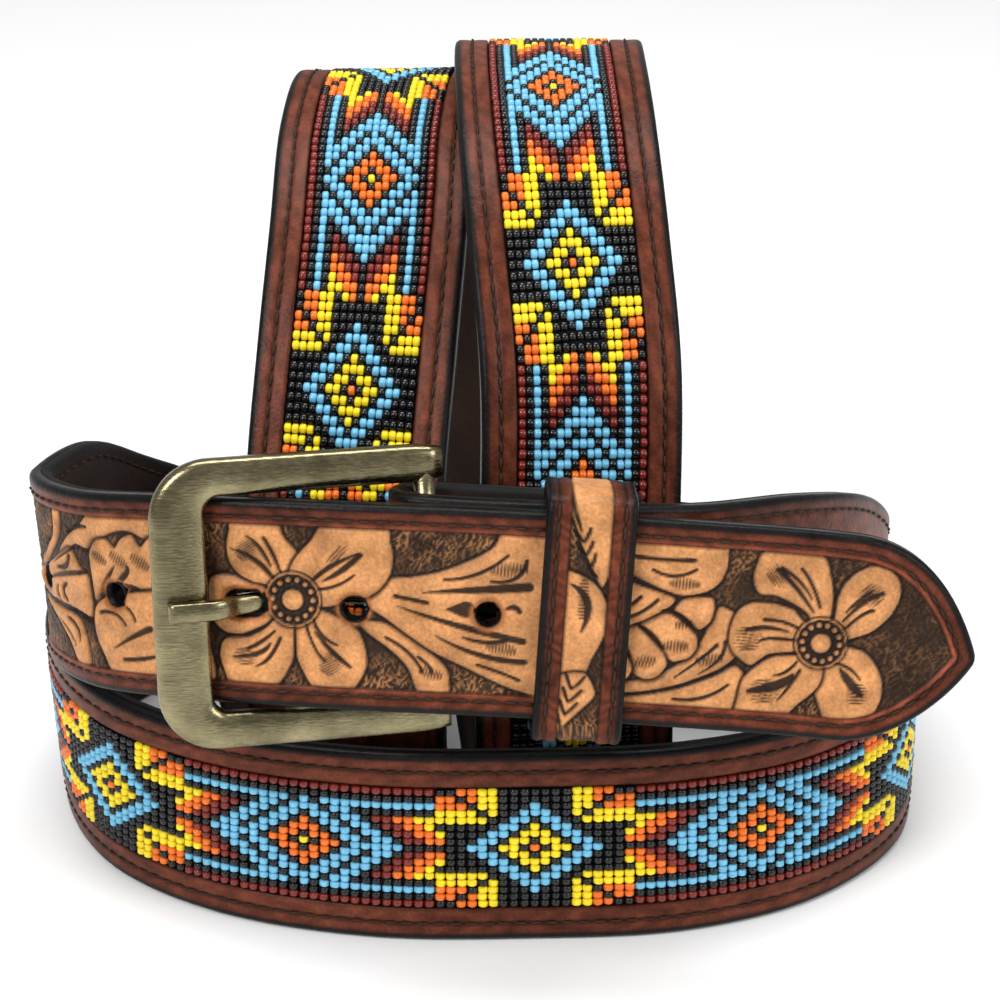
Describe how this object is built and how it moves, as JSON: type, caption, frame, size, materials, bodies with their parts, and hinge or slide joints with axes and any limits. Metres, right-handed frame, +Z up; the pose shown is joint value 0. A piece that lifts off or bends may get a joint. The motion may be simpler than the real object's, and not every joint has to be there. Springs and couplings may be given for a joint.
{
  "type": "western belt with a beaded strap, fastened and coiled",
  "caption": "Leather strap with tooled ends and a beaded middle, fastened on a brass buckle and coiled upright.",
  "frame": {"origin": "middle of the coiled belt's footprint, on the surface that it stands on", "axes": "+Z up, +X towards the tip of the strap, -Y towards the front with the buckle"},
  "size_m": [0.177, 0.1732, 0.1428],
  "materials": {
    "strap_leather": "satin",
    "lining_leather": "matte",
    "beadwork": "gloss",
    "buckle_brass": "brushed antique"
  },
  "bodies": {
    "root": {"strap_face": "strap_leather", "strap_lining": "lining_leather", "bead_panel": "beadwork", "buckle_frame": "buckle_brass", "buckle_prong": "buckle_brass", "keeper_loop": "strap_leather"}
  },
  "joints": []
}
